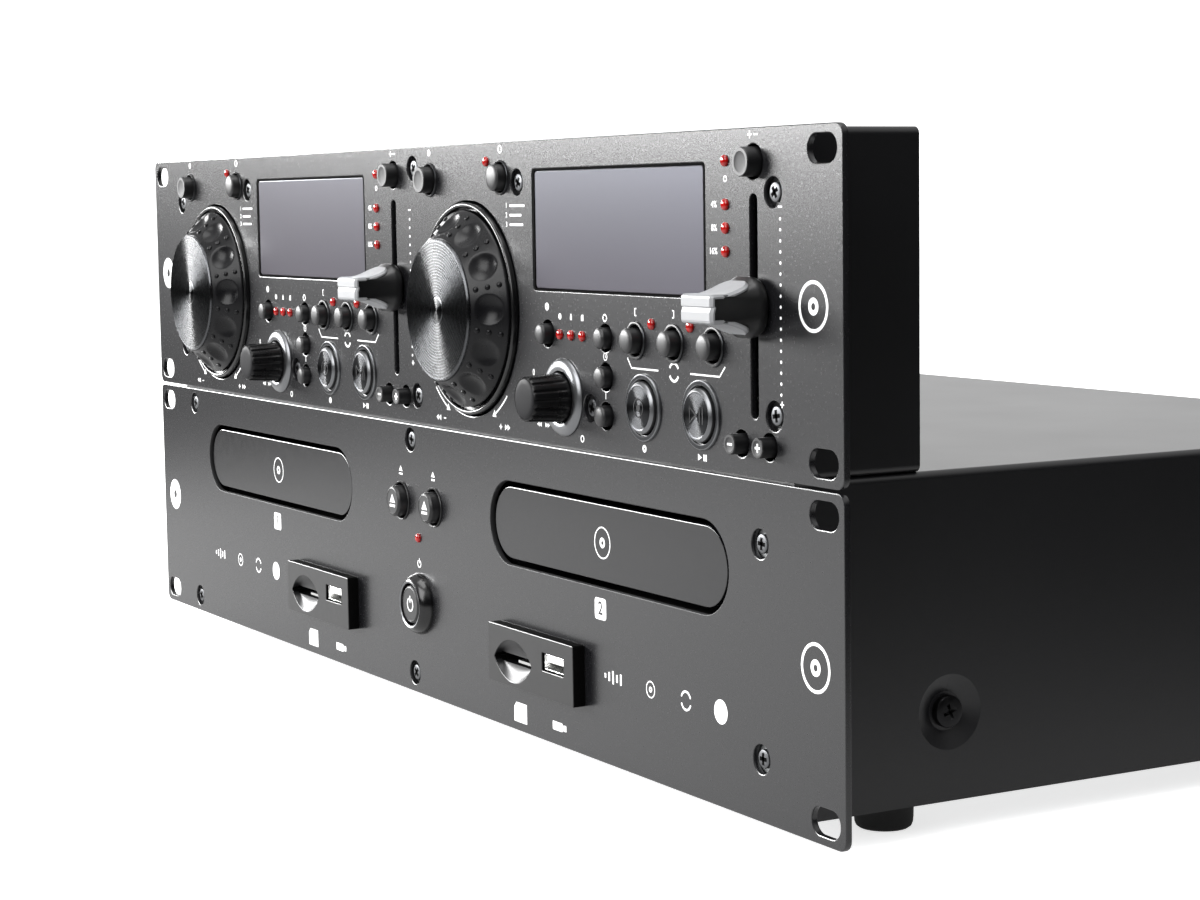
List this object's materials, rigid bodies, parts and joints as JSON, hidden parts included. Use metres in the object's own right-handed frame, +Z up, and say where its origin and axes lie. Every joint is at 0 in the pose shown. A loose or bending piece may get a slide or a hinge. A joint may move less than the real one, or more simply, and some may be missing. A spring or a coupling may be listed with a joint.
{
  "type": "dual cd player",
  "caption": "Rack-mount disc player for DJs: a control unit with jog wheels, faders and push buttons on a drive unit with sliding disc trays and card readers",
  "frame": {"origin": "centre of the footprint, on the surface that the feet stand on", "axes": "+X to the right along the panels as the user faces them, +Y back into the unit, +Z up"},
  "size_m": [0.4826, 0.2814, 0.1839],
  "materials": {
    "panel_enamel": "fine-grained satin black enamel",
    "case_enamel": "matt black powder coat",
    "display_acrylic": "smooth clear acrylic over an unlit display",
    "bezel_chrome": "dark chrome",
    "lamp_red": "diffused red lens",
    "circuit_board": "green solder mask",
    "chassis_steel": "zinc-plated sheet",
    "foot_rubber": "matt black",
    "screw_steel": "black oxide",
    "socket_plastic": "satin black moulding",
    "mechanism_plastic": "black moulding",
    "socket_metal": "nickel plate",
    "jog_plastic": "polished black moulding",
    "jog_aluminium": "fine concentric turning",
    "knob_plastic": "satin black moulding",
    "shaft_steel": "turned",
    "fader_plastic": "satin black with a silver face",
    "tray_plastic": "satin black moulding",
    "door_plastic": "satin black moulding",
    "button_plastic": "polished black moulding"
  },
  "bodies": {
    "root": {"control_panel": "panel_enamel", "control_case": "case_enamel", "display_windows": "display_acrylic", "button_bezels": "bezel_chrome", "indicator_leds": "lamp_red", "control_board": "circuit_board", "drive_panel": "panel_enamel", "drive_chassis": "chassis_steel", "drive_cover": "case_enamel", "rubber_feet": "foot_rubber", "cover_screws": "screw_steel", "media_ports": "socket_plastic", "disc_mechanisms": "mechanism_plastic", "rear_sockets": "socket_metal", "power_supply": "circuit_board"},
    "jog_1": {"jog_wheel_1": "jog_plastic", "jog_disc_1": "jog_aluminium"},
    "select_shaft_1": {"select_shaft_1": "shaft_steel"},
    "select_knob_1": {"select_knob_1": "knob_plastic"},
    "fader_1": {"fader_cap_1": "fader_plastic"},
    "tray_1": {"disc_tray_1": "tray_plastic", "tray_door_1": "door_plastic"},
    "tap_button_1": {"tap_button_1": "button_plastic"},
    "jog_mode_button_1": {"jog_mode_button_1": "button_plastic"},
    "pitch_button_1": {"pitch_button_1": "button_plastic"},
    "source_button_1": {"source_button_1": "button_plastic"},
    "repeat_button_1": {"repeat_button_1": "button_plastic"},
    "time_button_1": {"time_button_1": "button_plastic"},
    "single_button_1": {"single_button_1": "button_plastic"},
    "loop_in_button_1": {"loop_in_button_1": "button_plastic"},
    "loop_out_button_1": {"loop_out_button_1": "button_plastic"},
    "reloop_button_1": {"reloop_button_1": "button_plastic"},
    "cue_button_1": {"cue_button_1": "button_plastic"},
    "play_button_1": {"play_button_1": "button_plastic"},
    "pitch_down_button_1": {"pitch_down_button_1": "button_plastic"},
    "pitch_up_button_1": {"pitch_up_button_1": "button_plastic"},
    "jog_2": {"jog_wheel_2": "jog_plastic", "jog_disc_2": "jog_aluminium"},
    "select_shaft_2": {"select_shaft_2": "shaft_steel"},
    "select_knob_2": {"select_knob_2": "knob_plastic"},
    "fader_2": {"fader_cap_2": "fader_plastic"},
    "tray_2": {"disc_tray_2": "tray_plastic", "tray_door_2": "door_plastic"},
    "tap_button_2": {"tap_button_2": "button_plastic"},
    "jog_mode_button_2": {"jog_mode_button_2": "button_plastic"},
    "pitch_button_2": {"pitch_button_2": "button_plastic"},
    "source_button_2": {"source_button_2": "button_plastic"},
    "repeat_button_2": {"repeat_button_2": "button_plastic"},
    "time_button_2": {"time_button_2": "button_plastic"},
    "single_button_2": {"single_button_2": "button_plastic"},
    "loop_in_button_2": {"loop_in_button_2": "button_plastic"},
    "loop_out_button_2": {"loop_out_button_2": "button_plastic"},
    "reloop_button_2": {"reloop_button_2": "button_plastic"},
    "cue_button_2": {"cue_button_2": "button_plastic"},
    "play_button_2": {"play_button_2": "button_plastic"},
    "pitch_down_button_2": {"pitch_down_button_2": "button_plastic"},
    "pitch_up_button_2": {"pitch_up_button_2": "button_plastic"},
    "eject_button_1": {"eject_button_1": "button_plastic"},
    "eject_button_2": {"eject_button_2": "button_plastic"},
    "power_button": {"power_button": "button_plastic"}
  },
  "joints": [
    {"name": "jog_turn_1", "type": "hinge", "parent": "root", "child": "jog_1", "pos_m": [-0.1747, -0.1233, 0.1336], "axis": [0, 1, 0], "continuous": true},
    {"name": "select_push_1", "type": "slide", "parent": "root", "child": "select_shaft_1", "axis": [0, 1, 0], "range_m": [0, 0.0008], "stiffness_N_per_m": 800},
    {"name": "select_turn_1", "type": "hinge", "parent": "select_shaft_1", "child": "select_knob_1", "pos_m": [-0.1145, -0.1233, 0.11], "axis": [0, 1, 0], "continuous": true},
    {"name": "pitch_fade_1", "type": "slide", "parent": "root", "child": "fader_1", "axis": [0, 0, 1], "range_m": [-0.024, 0.024]},
    {"name": "tray_slide_1", "type": "slide", "parent": "root", "child": "tray_1", "axis": [0, -1, 0], "range_m": [0, 0.132]},
    {"name": "tap_button_1_press", "type": "slide", "parent": "root", "child": "tap_button_1", "axis": [0, 1, 0], "range_m": [0, 0.0008], "stiffness_N_per_m": 800},
    {"name": "jog_mode_button_1_press", "type": "slide", "parent": "root", "child": "jog_mode_button_1", "axis": [0, 1, 0], "range_m": [0, 0.0008], "stiffness_N_per_m": 800},
    {"name": "pitch_button_1_press", "type": "slide", "parent": "root", "child": "pitch_button_1", "axis": [0, 1, 0], "range_m": [0, 0.0008], "stiffness_N_per_m": 800},
    {"name": "source_button_1_press", "type": "slide", "parent": "root", "child": "source_button_1", "axis": [0, 1, 0], "range_m": [0, 0.0008], "stiffness_N_per_m": 800},
    {"name": "repeat_button_1_press", "type": "slide", "parent": "root", "child": "repeat_button_1", "axis": [0, 1, 0], "range_m": [0, 0.0008], "stiffness_N_per_m": 800},
    {"name": "time_button_1_press", "type": "slide", "parent": "root", "child": "time_button_1", "axis": [0, 1, 0], "range_m": [0, 0.0008], "stiffness_N_per_m": 800},
    {"name": "single_button_1_press", "type": "slide", "parent": "root", "child": "single_button_1", "axis": [0, 1, 0], "range_m": [0, 0.0008], "stiffness_N_per_m": 800},
    {"name": "loop_in_button_1_press", "type": "slide", "parent": "root", "child": "loop_in_button_1", "axis": [0, 1, 0], "range_m": [0, 0.0008], "stiffness_N_per_m": 800},
    {"name": "loop_out_button_1_press", "type": "slide", "parent": "root", "child": "loop_out_button_1", "axis": [0, 1, 0], "range_m": [0, 0.0008], "stiffness_N_per_m": 800},
    {"name": "reloop_button_1_press", "type": "slide", "parent": "root", "child": "reloop_button_1", "axis": [0, 1, 0], "range_m": [0, 0.0008], "stiffness_N_per_m": 800},
    {"name": "cue_button_1_press", "type": "slide", "parent": "root", "child": "cue_button_1", "axis": [0, 1, 0], "range_m": [0, 0.0008], "stiffness_N_per_m": 800},
    {"name": "play_button_1_press", "type": "slide", "parent": "root", "child": "play_button_1", "axis": [0, 1, 0], "range_m": [0, 0.0008], "stiffness_N_per_m": 800},
    {"name": "pitch_down_button_1_press", "type": "slide", "parent": "root", "child": "pitch_down_button_1", "axis": [0, 1, 0], "range_m": [0, 0.0008], "stiffness_N_per_m": 800},
    {"name": "pitch_up_button_1_press", "type": "slide", "parent": "root", "child": "pitch_up_button_1", "axis": [0, 1, 0], "range_m": [0, 0.0008], "stiffness_N_per_m": 800},
    {"name": "jog_turn_2", "type": "hinge", "parent": "root", "child": "jog_2", "pos_m": [0.0406, -0.1233, 0.1336], "axis": [0, 1, 0], "continuous": true},
    {"name": "select_push_2", "type": "slide", "parent": "root", "child": "select_shaft_2", "axis": [0, 1, 0], "range_m": [0, 0.0008], "stiffness_N_per_m": 800},
    {"name": "select_turn_2", "type": "hinge", "parent": "select_shaft_2", "child": "select_knob_2", "pos_m": [0.1008, -0.1233, 0.11], "axis": [0, 1, 0], "continuous": true},
    {"name": "pitch_fade_2", "type": "slide", "parent": "root", "child": "fader_2", "axis": [0, 0, 1], "range_m": [-0.024, 0.024]},
    {"name": "tray_slide_2", "type": "slide", "parent": "root", "child": "tray_2", "axis": [0, -1, 0], "range_m": [0, 0.132]},
    {"name": "tap_button_2_press", "type": "slide", "parent": "root", "child": "tap_button_2", "axis": [0, 1, 0], "range_m": [0, 0.0008], "stiffness_N_per_m": 800},
    {"name": "jog_mode_button_2_press", "type": "slide", "parent": "root", "child": "jog_mode_button_2", "axis": [0, 1, 0], "range_m": [0, 0.0008], "stiffness_N_per_m": 800},
    {"name": "pitch_button_2_press", "type": "slide", "parent": "root", "child": "pitch_button_2", "axis": [0, 1, 0], "range_m": [0, 0.0008], "stiffness_N_per_m": 800},
    {"name": "source_button_2_press", "type": "slide", "parent": "root", "child": "source_button_2", "axis": [0, 1, 0], "range_m": [0, 0.0008], "stiffness_N_per_m": 800},
    {"name": "repeat_button_2_press", "type": "slide", "parent": "root", "child": "repeat_button_2", "axis": [0, 1, 0], "range_m": [0, 0.0008], "stiffness_N_per_m": 800},
    {"name": "time_button_2_press", "type": "slide", "parent": "root", "child": "time_button_2", "axis": [0, 1, 0], "range_m": [0, 0.0008], "stiffness_N_per_m": 800},
    {"name": "single_button_2_press", "type": "slide", "parent": "root", "child": "single_button_2", "axis": [0, 1, 0], "range_m": [0, 0.0008], "stiffness_N_per_m": 800},
    {"name": "loop_in_button_2_press", "type": "slide", "parent": "root", "child": "loop_in_button_2", "axis": [0, 1, 0], "range_m": [0, 0.0008], "stiffness_N_per_m": 800},
    {"name": "loop_out_button_2_press", "type": "slide", "parent": "root", "child": "loop_out_button_2", "axis": [0, 1, 0], "range_m": [0, 0.0008], "stiffness_N_per_m": 800},
    {"name": "reloop_button_2_press", "type": "slide", "parent": "root", "child": "reloop_button_2", "axis": [0, 1, 0], "range_m": [0, 0.0008], "stiffness_N_per_m": 800},
    {"name": "cue_button_2_press", "type": "slide", "parent": "root", "child": "cue_button_2", "axis": [0, 1, 0], "range_m": [0, 0.0008], "stiffness_N_per_m": 800},
    {"name": "play_button_2_press", "type": "slide", "parent": "root", "child": "play_button_2", "axis": [0, 1, 0], "range_m": [0, 0.0008], "stiffness_N_per_m": 800},
    {"name": "pitch_down_button_2_press", "type": "slide", "parent": "root", "child": "pitch_down_button_2", "axis": [0, 1, 0], "range_m": [0, 0.0008], "stiffness_N_per_m": 800},
    {"name": "pitch_up_button_2_press", "type": "slide", "parent": "root", "child": "pitch_up_button_2", "axis": [0, 1, 0], "range_m": [0, 0.0008], "stiffness_N_per_m": 800},
    {"name": "eject_button_1_press", "type": "slide", "parent": "root", "child": "eject_button_1", "axis": [0, 1, 0], "range_m": [0, 0.0008], "stiffness_N_per_m": 800},
    {"name": "eject_button_2_press", "type": "slide", "parent": "root", "child": "eject_button_2", "axis": [0, 1, 0], "range_m": [0, 0.0008], "stiffness_N_per_m": 800},
    {"name": "power_button_press", "type": "slide", "parent": "root", "child": "power_button", "axis": [0, 1, 0], "range_m": [0, 0.0008], "stiffness_N_per_m": 800}
  ]
}
